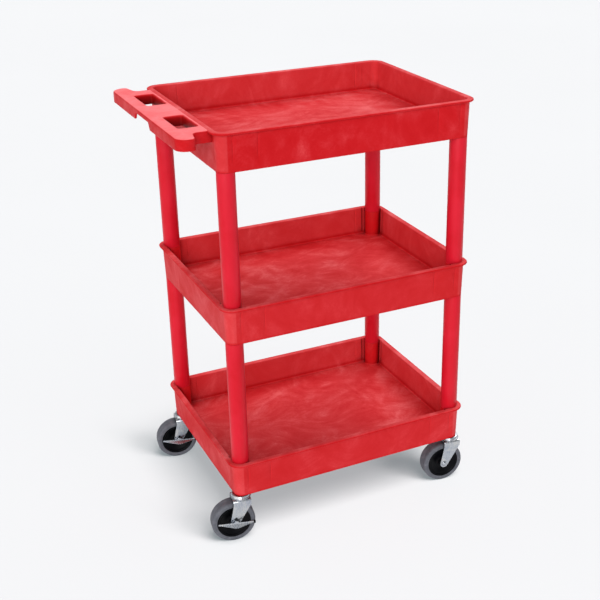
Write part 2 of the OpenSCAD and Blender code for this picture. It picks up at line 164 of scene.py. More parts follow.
def lathe(bm, outline, steps, place=Matrix.Identity(4), closed=True):
    """Turns a (radius, height) outline about Z. An outline that isn't closed gets flat ends."""
    rings = []
    for radius, height in outline:
        rings.append([place @ Vector((x, y, height)) for x, y in circle(radius, steps)])
    made = join_rings(bm, rings, closed)
    if not closed:
        bm.faces.new(made[0])
        bm.faces.new(made[-1])


def prism(bm, outline, low, high, edge, place=Matrix.Identity(4)):
    """Upright solid on a convex outline, with chamfered ends drawn in towards its middle."""
    middle = sum((Vector(p) for p in outline), Vector((0, 0))) / len(outline)

    def ring(inset, z):
        points = []
        for p in outline:
            away = Vector(p) - middle
            flat = middle + away * (1 - inset / away.length)
            points.append(place @ Vector((flat.x, flat.y, z)))
        return points

    levels = [(edge, low), (0, low + edge), (0, high - edge), (edge, high)]
    made = join_rings(bm, [ring(*level) for level in levels])
    bm.faces.new(made[0])
    bm.faces.new(made[-1])


def rounded(half_x, half_y, r, steps):
    """Rectangle about the origin with round corners."""
    points = []
    for k, (sx, sy) in enumerate(((1, 1), (-1, 1), (-1, -1), (1, -1))):
        points += arc(sx * (half_x - r), sy * (half_y - r), r, 90 * k, 90 * k + 90, steps)
    return points


def box_piece(bm, low, high, edge):
    """Box with rounded upright edges and chamfered ends."""
    half_x = (high[0] - low[0]) / 2
    half_y = (high[1] - low[1]) / 2
    middle = Matrix.Translation(((low[0] + high[0]) / 2, (low[1] + high[1]) / 2, 0))
    outline = rounded(half_x, half_y, min(edge, half_x, half_y) * 0.9, 3)
    prism(bm, outline, low[2], high[2], edge, middle)


def piece(name, bm, body, slot, material, *nodes, sharp=SHARP):
    """Makes the object of a finished bmesh, on a CAD body and standing for CAD nodes."""
    bmesh.ops.dissolve_degenerate(bm, dist=SLIVER, edges=bm.edges)
    bmesh.ops.recalc_face_normals(bm, faces=bm.faces)
    mesh = bpy.data.meshes.new(name)
    bm.to_mesh(mesh)
    bm.free()
    mesh.transform(Matrix.Scale(MM, 4))
    mesh.shade_smooth()
    mesh.set_sharp_from_angle(angle=math.radians(sharp))
    mesh.materials.append(material)
    made = bpy.data.objects.new(name, mesh)
    bpy.context.scene.collection.objects.link(made)
    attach(made, body)
    if nodes:
        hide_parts(*nodes)


# ---------------------------------------------------------------- materials


# A mix node lists its sockets once for each kind of data. These are the ones for colours.
COLOUR_A, COLOUR_B, COLOUR_OUT = 6, 7, 2


class Shader:
    """A material whose nodes are added one after another."""

    def __init__(self, name):
        self.material = bpy.data.materials.new(name)
        self.material.use_nodes = True
        self.tree = self.material.node_tree
        self.surface = self.tree.nodes["Principled BSDF"]
        self.place = self.node("ShaderNodeTexCoord").outputs["Object"]

    def node(self, kind, **values):
        made = self.tree.nodes.new(kind)
        for key, value in values.items():
            setattr(made, key, value)
        return made

    def link(self, source, target):
        self.tree.links.new(source, target)

    def noise(self, scale, detail=4, roughness=0.5, distortion=0, stretch=(1, 1, 1)):
        mapping = self.node("ShaderNodeMapping")
        mapping.inputs["Scale"].default_value = stretch
        made = self.node("ShaderNodeTexNoise")
        made.inputs["Scale"].default_value = scale
        made.inputs["Detail"].default_value = detail
        made.inputs["Roughness"].default_value = roughness
        made.inputs["Distortion"].default_value = distortion
        self.link(self.place, mapping.inputs["Vector"])
        self.link(mapping.outputs["Vector"], made.inputs["Vector"])
        return made.outputs["Fac"]

    def ramp(self, fac, *stops):
        made = self.node("ShaderNodeValToRGB")
        elements = made.color_ramp.elements
        while len(elements) < len(stops):
            elements.new(0.5)
        for element, (position, colour) in zip(elements, stops):
            element.position = position
            element.color = (*colour, 1)
        self.link(fac, made.inputs["Fac"])
        return made.outputs["Color"]

    def spread(self, fac, low, high, start=0.3, end=0.7):
        """Maps a noise value onto a range."""
        made = self.node("ShaderNodeMapRange")
        limits = {"From Min": start, "From Max": end, "To Min": low, "To Max": high}
        for key, value in limits.items():
            made.inputs[key].default_value = value
        self.link(fac, made.inputs["Value"])
        return made.outputs["Result"]

    def blend(self, a, b, share):
        """Blends two values by a fixed share of the second."""
        made = self.node("ShaderNodeMix", data_type="FLOAT")
        made.inputs["Factor"].default_value = share
        self.link(a, made.inputs["A"])
        self.link(b, made.inputs["B"])
        return made.outputs["Result"]

    def bump(self, *layers):
        """Stacks (height, strength, distance) bumps."""
        normal = None
        for height, strength, distance in layers:
            made = self.node("ShaderNodeBump")
            made.inputs["Strength"].default_value = strength
            made.inputs["Distance"].default_value = distance
            self.link(height, made.inputs["Height"])
            if normal:
                self.link(normal, made.inputs["Normal"])
            normal = made.outputs["Normal"]
        self.link(normal, self.surface.inputs["Normal"])

    def creases(self, colour, deepest, reach):
        """Paints shade: darkens a colour towards its deepest value in hollows that are narrower
        than reach.
        """
        near = self.node("ShaderNodeAmbientOcclusion", samples=8)
        near.inputs["Distance"].default_value = reach
        return self.times(colour, self.ramp(near.outputs["AO"], (0.15, deepest), (0.72, (1, 1, 1))))

    def times(self, colour, shade):
        """Multiplies two colours."""
        made = self.node("ShaderNodeMix", data_type="RGBA", blend_type="MULTIPLY")
        made.inputs["Factor"].default_value = 1
        self.link(colour, made.inputs[COLOUR_A])
        self.link(shade, made.inputs[COLOUR_B])
        return made.outputs[COLOUR_OUT]

    def painted_slope_light(self, upright, level):
        """Paints light by slope: one colour on walls and another, lit colour on faces that look up,
        by the face's own direction.
        """
        facing = self.node("ShaderNodeSeparateXYZ")
        self.link(self.node("ShaderNodeNewGeometry").outputs["Normal"], facing.inputs["Vector"])
        return self.mix(self.spread(facing.outputs["Z"], 0, 1, 0.5, 0.9), upright, level)

    def mix(self, share, first, second):
        """Blends two colours by a share that varies over the surface."""
        made = self.node("ShaderNodeMix", data_type="RGBA")
        self.link(share, made.inputs["Factor"])
        self.link(first, made.inputs[COLOUR_A])
        self.link(second, made.inputs[COLOUR_B])
        return made.outputs[COLOUR_OUT]

    def set(self, **values):
        """Sets the surface's own sockets, with _ for each space in a name."""
        for key, value in values.items():
            self.surface.inputs[key.replace("_", " ")].default_value = value


def foam_plastic():
    """Moulded structural foam: pale flow marks with wisps, fine mottling and a satin skin, with
    painted light (a paler colour on faces that look up and a pale sheen where the mesh marks it)
    and painted shade in creases, in the hand holes and under the deck.
    """
    s = Shader("tub_plastic")
    cloud = s.noise(3.6, 6, 0.52, 2.4, (1, 1.2, 1))
    wisp = s.noise(7.5, 6, 0.56, 3.6, (1, 1.3, 1))
    mottle = s.noise(230, 3, 0.7)
    flow = s.blend(s.blend(cloud, wisp, 0.45), mottle, 0.15)
    upright = s.ramp(flow, (0.41, (0.50, 0.0050, 0.0080)), (0.51, (0.53, 0.0085, 0.0125)),
                     (0.58, (0.56, 0.0170, 0.0225)), (0.68, (0.64, 0.0500, 0.0570)))
    # Paler colour for faces that look up: painted light from above on the same plastic.
    level = s.ramp(flow, (0.38, (0.60, 0.0180, 0.0230)), (0.49, (0.67, 0.0370, 0.0430)),
                   (0.56, (0.72, 0.0700, 0.0760)), (0.65, (0.80, 0.1350, 0.1410)))
    # Pale colour that paints light: a sheen on the handle deck, highlights round the corners and
    # bounced light on the walls. The attribute gives its share.
    painted_pale_tint = s.ramp(flow, (0.40, (0.88, 0.1350, 0.1450)), (0.62, (0.95, 0.2100, 0.2220)))
    wear = s.node("ShaderNodeAttribute", attribute_name="wear").outputs["Fac"]
    tint = s.mix(wear, s.painted_slope_light(upright, level), painted_pale_tint)
    # Painted shade: darker towards the foot of the hand holes and on the wall under the handle
    # deck.
    painted_hole_shade = s.ramp(s.node("ShaderNodeAttribute", attribute_name="depth").outputs["Fac"],
                  (0, (1, 1, 1)), (0.35, (0.50, 0.22, 0.22)), (1, (0.20, 0.06, 0.06)))
    # Painted shade in the creases and corners of the tub.
    crease_shaded = s.creases(tint, (0.26, 0.12, 0.12), 0.030)
    s.link(s.times(crease_shaded, painted_hole_shade), s.surface.inputs["Base Color"])
    s.link(s.spread(flow, 0.56, 0.38, 0.40, 0.62), s.surface.inputs["Roughness"])
    s.bump((s.noise(620, 3, 0.6), 0.16, 0.0002), (mottle, 0.05, 0.0004), (wisp, 0.05, 0.0008))
    s.set(IOR=1.5, Specular_IOR_Level=0.07)
    return s.material


def tube_plastic():
    """Extruded leg tube: smooth, with faint lines along it."""
    s = Shader("leg_plastic")
    lines = s.noise(120, 3, 0.5, 0, (1, 1, 0.02))
    cloud = s.noise(14, 3, 0.5, 0.4)
    tint = s.ramp(s.blend(cloud, lines, 0.3),
                  (0.35, (0.55, 0.0065, 0.0165)), (0.65, (0.62, 0.0125, 0.0300)))
    # Painted shade in hollows and where the tube meets other parts.
    s.link(s.creases(tint, (0.45, 0.25, 0.25), 0.020), s.surface.inputs["Base Color"])
    s.link(s.spread(lines, 0.32, 0.43), s.surface.inputs["Roughness"])
    s.bump((lines, 0.06, 0.0003), (s.noise(500, 2), 0.05, 0.0001))
    s.set(IOR=1.5, Specular_IOR_Level=0.13)
    return s.material


def zinc():
    """Zinc plate on pressed steel: drawn lines, a faint blue and straw cast, and painted shade in
    its creases.
    """
    s = Shader("zinc_steel")
    brush = s.noise(420, 4, 0.65, 0, (1, 1, 0.08))
    cloud = s.noise(55, 3, 0.5, 0.5)
    tint = s.ramp(s.blend(cloud, brush, 0.4), (0.36, (0.36, 0.39, 0.45)),
                  (0.50, (0.47, 0.495, 0.53)), (0.64, (0.60, 0.60, 0.59)))
    # Painted shade in creases and between parts.
    s.link(s.creases(tint, (0.045, 0.050, 0.062), 0.012), s.surface.inputs["Base Color"])
    s.link(s.spread(brush, 0.20, 0.34), s.surface.inputs["Roughness"])
    s.bump((brush, 0.12, 0.0001))
    s.set(Metallic=1.0)
    return s.material


def dark_plastic():
    """Moulded black polypropylene with a fine spark grain."""
    s = Shader("black_plastic")
    cloud = s.noise(40, 3)
    tint = s.ramp(cloud, (0.35, (0.0012, 0.0013, 0.0020)), (0.65, (0.0028, 0.0029, 0.0042)))
    s.link(tint, s.surface.inputs["Base Color"])
    s.link(s.spread(cloud, 0.30, 0.44), s.surface.inputs["Roughness"])
    s.bump((s.noise(900, 3, 0.6), 0.15, 0.0001))
    s.set(Specular_IOR_Level=0.07)
    return s.material


def tread_rubber():
    """Grey non-marking tread, with scuffs round it."""
    s = Shader("tyre")
    scuff = s.noise(90, 5, 0.65, 0.6)
    tint = s.ramp(scuff, (0.34, (0.078, 0.081, 0.096)), (0.55, (0.105, 0.108, 0.126)),
                  (0.72, (0.15, 0.15, 0.17)))
    # Painted shade in the tread's hollows and where it meets the wheel body.
    s.link(s.creases(tint, (0.25, 0.25, 0.27), 0.015), s.surface.inputs["Base Color"])
    s.link(s.spread(scuff, 0.55, 0.72), s.surface.inputs["Roughness"])
    s.bump((s.noise(1100, 3, 0.6), 0.2, 0.0001), (scuff, 0.06, 0.0003))
    s.set(Specular_IOR_Level=0.3)
    return s.material


def floor_paint():
    """Pale floor with a soft glow of its own, so that shadows on it stay light and neutral."""
    s = Shader("floor_paint")
    tint = s.ramp(s.noise(0.8, 2), (0.3, (0.149, 0.142, 0.142)), (0.7, (0.151, 0.144, 0.144)))
    s.link(tint, s.surface.inputs["Base Color"])
    s.set(Roughness=0.9, Specular_IOR_Level=0.0)
    s.set(Emission_Color=(0.219, 0.259, 0.275, 1), Emission_Strength=1.0)
    return s.material


MATERIALS = {
    "tub_plastic": foam_plastic(),
    "leg_plastic": tube_plastic(),
    "zinc_steel": zinc(),
    "black_plastic": dark_plastic(),
    "tyre": tread_rubber(),
}
for row in frame["record"]["subparts"]:
    node = frame["nodes"][row["node"]]
    node.data.materials.clear()
    node.data.materials.append(MATERIALS[row["material_slot"]])
    node.data.shade_smooth()
    node.data.set_sharp_from_angle(angle=math.radians(CAD_SHARP))


# ---------------------------------------------------------------- tubs

# Marks on the long walls, from the tub's middle, and the hollow beside each post.
GROOVES_OUT = (210, 264)
GROOVE_W = 2.4
GROOVE_DEPTH = 1.1
GROOVE_IN = 231
PAD_IN = 249
PAD_EDGE = 2
PAD_RISE = 0.9
POST_GAP = 2
POST_GAP_W = 4
POST_GAP_DEPTH = 3
POST_FILLET = 3
WALL_ROWS_IN = 9
WALL_ROWS_OUT = 12
WALL_STEPS = 12
CORNER_STEPS = 14
NECK_Y = 193
HANDLE_SKIRT = 25
# Stands for the distance along a wall in the corners, so that no mark reaches them.
AT_CORNER = 1e6
# Shares of the paler colour painted as light: bounced light on the inner walls and the lower tubs'
# outer walls, and a highlight round the corners. Then where the painted shade on the wall under the
# deck fades.
INNER_PAINTED_LIGHT = 0.15
LOWER_PAINTED_LIGHT = 0.06
CORNER_PAINTED_HIGHLIGHT = 0.14
UNDER_DECK_FADE = 14
NECK_CLEAR = 35
NECK_FADE = 15
# Ribs under the floors, at shares of the distance to the leg axes.
LONG_RIBS = (-0.55, 0, 0.55)
CROSS_RIBS = (-0.7, -0.35, 0, 0.35, 0.7)
RIB_HALF = 1.5
RIB_DEPTH = 7
RIB_REACH = 12
RIB_EDGE = 0.6
BOSS_T = 5
BOSS_INSET = 0.8
TUBE_T = 4


def wall_out(z):
    return WALL_OUT_TOP + (WALL_OUT_TOP - LEG_R) * z / TUB_HEIGHT


def wall_in(z):
    return WALL_IN_TOP + (WALL_IN_TOP - WALL_IN_BOTTOM) * z / TUB_DEPTH


def wall_section():
    """Tub wall from the floor's top, over the rim and round the skirt, as (out, z, face) points."""
    floor_in = WALL_IN_BOTTOM - FLOOR_FILLET
    edge = 0.9
    fillet = arc(floor_in, FLOOR_FILLET - TUB_DEPTH, FLOOR_FILLET, -90, -2, 6)
    points = [(o, z, "floor") for o, z in fillet]
    top = -RIM_ROUND
    drop = FLOOR_FILLET - TUB_DEPTH - top
    rows = [top + drop * k / WALL_ROWS_IN for k in range(WALL_ROWS_IN - 1, 0, -1)]
    points += [(wall_in(z), z, "in") for z in rows]
    rim = arc(wall_in(top) + RIM_ROUND, top, RIM_ROUND, 180, 90, 6)
    points += [(o, z, "in") for o, z in rim]
    lip = arc(RIM_OUT - LIP_T / 2, -LIP_T / 2, LIP_T / 2, 90, -90, 10)
    points += [(o, z, "lip") for o, z in lip]
    under = 1.4
    root = wall_out(-LIP_T - under)
    points += [(o, z, "out") for o, z in arc(root + under, -LIP_T - under, under, 90, 180, 4)]
    low = -TUB_HEIGHT
    drop = low + edge + LIP_T + under
    rows = [-LIP_T - under + drop * k / WALL_ROWS_OUT for k in range(1, WALL_ROWS_OUT)]
    points += [(wall_out(z), z, "out") for z in rows]
    points += [(o, z, "skirt") for o, z in arc(LEG_R - edge, low + edge, edge, 0, -90, 3)]
    inner = LEG_R - SKIRT_T
    points += [(o, z, "skirt") for o, z in arc(inner + edge, low + edge, edge, -90, -180, 3)]
    fillet = arc(inner - SKIRT_FILLET, -FLOOR_UNDER - SKIRT_FILLET, SKIRT_FILLET, 0, 90, 4)
    points += [(o, z, "skirt") for o, z in fillet]
    points.append((floor_in, -FLOOR_UNDER, "skirt"))
    return points


def relief(face, long_wall, along, end, z, posts):
    """How far out the wall's surface moves at a place: grooves, pads and the gaps beside posts."""
    moved = 0
    if face == "out" and long_wall:
        fade = smooth((z + TUB_HEIGHT * 0.80) / (TUB_HEIGHT * 0.28))
        moved -= GROOVE_DEPTH * fade * sum(bump(abs(along) - x, GROOVE_W) for x in GROOVES_OUT)
    if face == "in" and long_wall:
        rise = smooth((z + TUB_DEPTH - 5) / 10) * smooth((-1 - z) / 4)
        pad = smooth((abs(along) - GROOVE_IN) / PAD_EDGE) - smooth((abs(along) - PAD_IN) / 3)
        moved += rise * PAD_RISE * (bump(abs(along) - GROOVE_IN, PAD_EDGE) - pad)
    if face == "in" and posts:
        rise = smooth((z + TUB_DEPTH - 3) / 5)
        from_gap = abs(along) - (end - LEG_R - POST_GAP)
        moved += POST_GAP_DEPTH * rise * bump(from_gap, POST_GAP_W)
    return moved


def wall_stations(posts):
    """Places round the tub, closer together at the marks in its walls.

    Each is (point on the leg rectangle, direction out, long wall or not, distance along, end).
    """
    stations = []
    for turn in range(4):
        long_wall = turn % 2 == 1
        end = LEG_X if long_wall else LEG_Y
        out = LEG_Y if long_wall else LEG_X
        along = {end * k / WALL_STEPS for k in range(-WALL_STEPS, WALL_STEPS + 1)}
        lines = [(end - LEG_R - POST_GAP, POST_GAP_W)] if posts else []
        if long_wall:
            lines += [(x, GROOVE_W) for x in GROOVES_OUT]
            lines += [(x, PAD_EDGE) for x in (GROOVE_IN, GROOVE_IN + 1, PAD_IN + 1.5)]
        for x, width in lines:
            for sign in (-1, 1):
                along |= {sign * x + width * k / 4 for k in range(-4, 5)}
        quarter = math.radians(90 * turn)
        outward = Vector((math.cos(quarter), math.sin(quarter)))
        sideways = Vector((-outward.y, outward.x))
        for a in sorted(x for x in along if abs(x) <= end):
            stations.append((outward * out + sideways * a, outward, long_wall, a, end))
        for k in range(1, CORNER_STEPS):
            angle = quarter + math.pi / 2 * k / CORNER_STEPS
            direction = Vector((math.cos(angle), math.sin(angle)))
            stations.append((outward * out + sideways * end, direction, long_wall, AT_CORNER, end))
    return stations


def tub_walls(bm, rim_z, posts):
    """Walls, rim and skirt as one swept skin, closed by the floor's two faces."""
    section = wall_section()
    rings = []
    corners = []
    for point, direction, long_wall, along, end in wall_stations(posts):
        corners.append(along == AT_CORNER)
        ring = []
        for out, z, face in section:
            at = point + direction * (out + relief(face, long_wall, along, end, z, posts))
            ring.append(Vector((CENTRE_X + at.x, at.y, rim_z + z)))
        rings.append(ring)
    made = [[bm.verts.new(p) for p in ring] for ring in rings]
    wear, depth = (bm.verts.layers.float[layer] for layer in ("wear", "depth"))
    for ring, at_corner in zip(made, corners):
        for vert, (_, z, face) in zip(ring, section):
            # Painted light: the inner walls, the lower tubs' outer walls and the rounded corners
            # get a share of the pale colour.
            if face == "in":
                vert[wear] = INNER_PAINTED_LIGHT
            elif face == "out":
                vert[wear] = (LOWER_PAINTED_LIGHT if posts else 0) + (CORNER_PAINTED_HIGHLIGHT if at_corner else 0)
            # Painted shade on the short wall under the handle deck, fading out near the neck and
            # below the handle's skirt.
            if not posts and face == "out" and vert.co.x < CENTRE_X - LEG_X - LEG_R:
                from_neck = smooth((NECK_Y - NECK_CLEAR - abs(vert.co.y)) / NECK_FADE)
                under_deck = smooth((z + HANDLE_SKIRT + UNDER_DECK_FADE) / UNDER_DECK_FADE)
                vert[depth] = from_neck * under_deck
    for k, ring in enumerate(made):
        following = made[(k + 1) % len(made)]
        for i in range(len(ring) - 1):
            bm.faces.new((ring[i], ring[i + 1], following[i + 1], following[i]))
    bm.faces.new([ring[0] for ring in made])
    bm.faces.new([ring[-1] for ring in made])


def floor_ribs(bm, rim_z):
    top = rim_z - FLOOR_UNDER + 1
    low = rim_z - FLOOR_UNDER - RIB_DEPTH
    reach_x, reach_y = LEG_X + RIB_REACH, LEG_Y + RIB_REACH
    for share in LONG_RIBS:
        y = share * LEG_Y
        box_piece(bm, (CENTRE_X - reach_x, y - RIB_HALF, low),
                  (CENTRE_X + reach_x, y + RIB_HALF, top), RIB_EDGE)
    for share in CROSS_RIBS:
        x = CENTRE_X + share * LEG_X
        box_piece(bm, (x - RIB_HALF, -reach_y, low), (x + RIB_HALF, reach_y, top), RIB_EDGE)


def corner_posts(bm, rim_z):
    """Posts in the corners up to the foot of the leg tubes, filleted to the floor inside."""
    floor = rim_z - TUB_DEPTH
    levels = [(POST_FILLET, floor - 1)]
    for a in [math.radians(15 * k) for k in range(7)]:
        levels.append((POST_FILLET * (1 - math.sin(a)), floor + POST_FILLET * (1 - math.cos(a))))
    top = rim_z - POST_DROP
    levels += [(0, top - 0.8), (-0.3, top - 0.2), (-0.8, top)]
    for corner in CORNERS:
        axis = leg_axis(corner)
        inward = Vector((CENTRE_X, 0)) - axis
        inward = Vector((math.copysign(1, inward.x), math.copysign(1, inward.y))).normalized()
        rings = []
        for flare, z in levels:
            ring = []
            for way in map(Vector, circle(1, ROUND_STEPS)):
                share = smooth((way.dot(inward) + 0.1) / 0.8) if flare > 0 else 1
                ring.append((*(axis + way * (LEG_R + flare * share)), z))
            rings.append(ring)
        made = join_rings(bm, rings)
        bm.faces.new(made[0])
        bm.faces.new(made[-1])


def corner_bosses(bm, rim_z, socketed):
    """Bosses under the corners. The bottom tub's are bored off centre for the caster sockets."""
    low, high = rim_z - TUB_HEIGHT, rim_z - FLOOR_UNDER + 1
    outer = LEG_R - BOSS_INSET
    for corner in CORNERS:
        axis = centre = leg_axis(corner)
        bore = outer - BOSS_T
        if socketed:
            ends = frame_box("socket_" + corner)
            centre = ((ends[0] + ends[1]) / 2).to_2d()
            bore = (ends[1].x - ends[0].x) / 2 + 0.1
        outline = [(centre, bore, high), (axis, outer, high), (axis, outer, low + 0.6),
                   (axis, outer - 0.6, low), (centre, bore + 0.5, low), (centre, bore, low + 0.5)]
        rings = []
        for middle, radius, z in outline:
            turn = circle(radius, ROUND_STEPS)
            rings.append([(middle.x + x, middle.y + y, z) for x, y in turn])
        join_rings(bm, rings, closed=True)


# ---------------------------------------------------------------- push handle

DECK_T = 5
WEB_T = 4
WEB_FILLET = 1.5
EAR_R = 24
EAR_IN_R = 11
EAR_FLAT = 3.5
EAR_SLOPE = 12
NECK_R = 12
HOLE_LENGTH = 98
HOLE_W = 41
HOLE_X = HANDLE_X + 30
HOLE_R = 5
BRIDGE_Y = 53
GAP_Y = BRIDGE_Y - 5
GAP_BACK = 20
HOLE_WEB_T = 3
# The CAD has 21 here. The photo shows less of its background through the far hole than that.
HOLE_WEB_H = 23
HOLE_WEB_EDGE = 0.8
EDGE_R = 4
EDGE_STEPS = 6
DECK_Z = -0.12


def handle_half(d):
    """The +Y half of the handle's outline, drawn in by d, from the tub round to the middle."""
    ear_x = HANDLE_X + EAR_R + EAR_FLAT
    neck_cy = NECK_Y + NECK_R
    slope = math.radians(EAR_SLOPE)
    across = (EAR_Y - EAR_IN_R - neck_cy) * math.sin(slope) + EAR_IN_R + NECK_R
    neck_x = ear_x + across / math.cos(slope)
    points = [(-LEG_X - WALL_OUT_TOP + 2, NECK_Y - d)]
    points += arc(neck_x, neck_cy, NECK_R + d, 270, 180 + EAR_SLOPE, 10)
    points += arc(ear_x, EAR_Y - EAR_IN_R, EAR_IN_R - d, EAR_SLOPE, 90, 9)
    points += arc(HANDLE_X + EAR_R, EAR_Y - EAR_R, EAR_R - d, 90, 180, 12)
    stops = [GAP_Y + 120, GAP_Y + 80, GAP_Y + 40, GAP_Y + 20]
    stops += [GAP_Y + 10 - 2 * k for k in range(11)] + [GAP_Y - 25]
    points += [(HANDLE_X + d, y) for y in stops if y < EAR_Y - EAR_R - 1]
    return points


def handle_ring(d, depth):
    """Whole outline at a height that depth(x, y) gives."""
    half = handle_half(d)
    ring = half + [(x, -y) for x, y in reversed(half)]
    return [(x, y, depth(x, y)) for x, y in ring]


def hand_hole_ring(side, grow, z):
    """A hand hole's outline; every ring of one hole has its points in the same order."""
    low_x, high_x = HOLE_X - grow, HOLE_X + HOLE_W + grow
    low_y, high_y = BRIDGE_Y - grow, BRIDGE_Y + HOLE_LENGTH + grow
    middle_x, middle_y = (low_x + high_x) / 2, (low_y + high_y) / 2
    outline = rounded((high_x - low_x) / 2, (high_y - low_y) / 2, HOLE_R + grow, 5)
    return [(middle_x + x, side * (middle_y + y), z) for x, y in outline]


def cap(bm, *loops):
    """Flat face bounded by the first loop of vertices, with the other loops as holes in it."""
    verts = [v for loop in loops for v in loop]
    for face in tessellate_polygon([[v.co for v in loop] for loop in loops]):
        bm.faces.new([verts[i] for i in face])


def deck_edge(step):
    """How far in and down the deck's round edge has come, from its side at 0 to its top."""
    turn = math.radians(90 / EDGE_STEPS * step)
    return EDGE_R * (1 - math.cos(turn)), EDGE_R * (1 - math.sin(turn))


def push_handle(bm, rim_z):
    """Deck with round edges, a skirt that lifts at the middle for the fingers, and hand holes."""

    def skirt_foot(x, y):
        open_here = smooth((GAP_Y + 5 - abs(y)) / 10) if x < HANDLE_X + GAP_BACK else 0
        return DECK_Z - HANDLE_SKIRT + (HANDLE_SKIRT - DECK_T - 5) * open_here

    place = Matrix.Translation((CENTRE_X, 0, rim_z))
    painted_shade_layer = bm.verts.layers.float["depth"]
    foot = 0.9
    under_deck = DECK_Z - DECK_T
    levels = [(WEB_T + WEB_FILLET, lambda x, y: under_deck)]
    levels += [(WEB_T, lambda x, y: under_deck - WEB_FILLET)]
    levels += [(WEB_T, lambda x, y: skirt_foot(x, y) + foot)]
    levels += [(WEB_T - foot, skirt_foot), (foot, skirt_foot)]
    levels += [(foot * 0.3, lambda x, y: skirt_foot(x, y) + foot * 0.3)]
    levels += [(0, lambda x, y: skirt_foot(x, y) + foot)]
    for inset, drop in map(deck_edge, range(EDGE_STEPS + 1)):
        levels.append((inset, lambda x, y, drop=drop: DECK_Z - drop))
    rings = [[place @ Vector(p) for p in handle_ring(d, depth)] for d, depth in levels]
    outer = join_rings(bm, rings)
    # Painted sheen: the top and round edge of the deck take the pale colour.
    wear = bm.verts.layers.float["wear"]
    for vert in outer[-1] + outer[-2] + outer[-3]:
        vert[wear] = 1
    top_loops, under_loops = [outer[-1]], [outer[0]]
    for side in (-1, 1):
        edge = map(deck_edge, range(EDGE_STEPS, -1, -1))
        grows = [(inset, DECK_Z - drop) for inset, drop in edge]
        low, ease = DECK_Z - HOLE_WEB_H, HOLE_WEB_EDGE
        grows += [(0, low + ease), (ease, low), (HOLE_WEB_T - ease, low), (HOLE_WEB_T, low + ease)]
        grows += [(HOLE_WEB_T, under_deck - WEB_FILLET), (HOLE_WEB_T + WEB_FILLET, under_deck)]
        rings = [[place @ Vector(p) for p in hand_hole_ring(side, g, z)] for g, z in grows]
        hole = join_rings(bm, rings)
        # Painted shade, deeper towards the foot of each hand hole.
        for ring in hole:
            for vert in ring:
                vert[painted_shade_layer] = smooth((rim_z + DECK_Z - 1 - vert.co.z) / (HOLE_WEB_H * 0.45))
        # Painted sheen on the rims of the hand holes.
        for vert in hole[0] + hole[1]:
            vert[wear] = 1
        top_loops.append(hole[0])
        under_loops.append(hole[-1])
    cap(bm, *top_loops)
    cap(bm, *under_loops)


def build_tubs():
    for name, rim_z in RIM_Z.items():
        bm = bmesh.new()
        # Layers for painted shade and painted light.
        for layer in ("depth", "wear"):
            bm.verts.layers.float.new(layer)
        tub_walls(bm, rim_z, posts=name != "top_tub")
        floor_ribs(bm, rim_z)
        if name == "top_tub":
            push_handle(bm, rim_z)
        else:
            corner_posts(bm, rim_z)
        corner_bosses(bm, rim_z, socketed=name == "bottom_tub")
        piece("moulded_" + name, bm, "cart", "tub_plastic", MATERIALS["tub_plastic"], name)


def build_legs():
    edge = 0.7
    for level in ("upper_leg_", "lower_leg_"):
        for corner in CORNERS:
            low, high = frame_box(level + corner)
            axis = leg_axis(corner)
            inner = LEG_R - TUBE_T
            outline = [(inner, low.z), (LEG_R - edge, low.z), (LEG_R - 0.2, low.z + 0.2),
                       (LEG_R, low.z + edge), (LEG_R, high.z - edge), (LEG_R - 0.2, high.z - 0.2),
                       (LEG_R - edge, high.z), (inner, high.z)]
            bm = bmesh.new()
            lathe(bm, outline, TUBE_STEPS, Matrix.Translation((axis.x, axis.y, 0)))
            piece("tube_" + level + corner, bm, "cart", "leg_plastic",
                  MATERIALS["leg_plastic"], level + corner)


build_tubs()
build_legs()

# ---------------------------------------------------------------- casters

FORK_T = 2.6
FORK_PLAY = 0.05
FORK_BEND = 5
FORK_SQUARE = 13
FORK_FOOT_R = 10
FORK_FRONT = 20
FORK_BACK = 0.5
FORK_EDGE = 0.45
CROWN_R = 22.9
CROWN_DRILL = 12
AXLE_DRILL = 60
HOLE_PLAY = 0.1
TRACK_RISE = 1.2
TRACK_R = 18.4
CORE_R = 39.5
HUB_R = 11.5
BORE_R = 6.42
NUT_R = 7.2
NUT_BODY = 0.75
NUT_COLLAR = 0.6
COLLAR_R = 5.6
HEAD_T = 3.3
HEAD_R = 6.6
SHANK_R = 3.97
STEM_R = 5.57
RACE_ROOF = 5.05
RACE_R = 19
BALLS = 16
# For shapes taken over from the CAD: the weld, the facets flattened and the edges that get eased.
WELD = 0.002
FACET_ANGLE = 1.5
EASED_ANGLE = 35


class Caster:
    """Where one caster's axes lie, and how far its CAD nodes reach along them."""

    def __init__(self, corner):
        self.corner = corner
        low, high = frame_box("race_cap_" + corner)
        self.pin = (low + high) / 2
        low, high = frame_box("tyre_" + corner)
        self.axle = (low + high) / 2
        self.forward = (self.pin - self.axle).to_2d().to_3d().normalized()
        self.trail = (self.pin - self.axle).to_2d().length
        self.side = self.forward.cross(Vector((0, 0, 1)))
        turned = Matrix((self.forward, (0, 0, 1), self.side)).transposed().to_4x4()
        self.wheel = Matrix.Translation(self.axle) @ turned

    def span(self, node):
        """Lowest and highest reach of a node along the wheel's axis, from the wheel's middle."""
        verts = frame["nodes"][node + "_" + self.corner].data.vertices
        along = [(v.co / MM - self.axle).dot(self.side) for v in verts]
        return min(along), max(along)

    def point(self, forward, side, z):
        """Place at a height, reckoned forward and sideways from the kingpin."""
        flat = self.pin + self.forward * forward + self.side * side
        return Vector((flat.x, flat.y, z))

    def make(self, name, bm, body, slot, *nodes, sharp=SHARP):
        nodes = [node + "_" + self.corner for node in nodes]
        if body != "cart":
            body += "_" + self.corner
        piece(name + "_" + self.corner, bm, body, slot, MATERIALS[slot], *nodes, sharp=sharp)


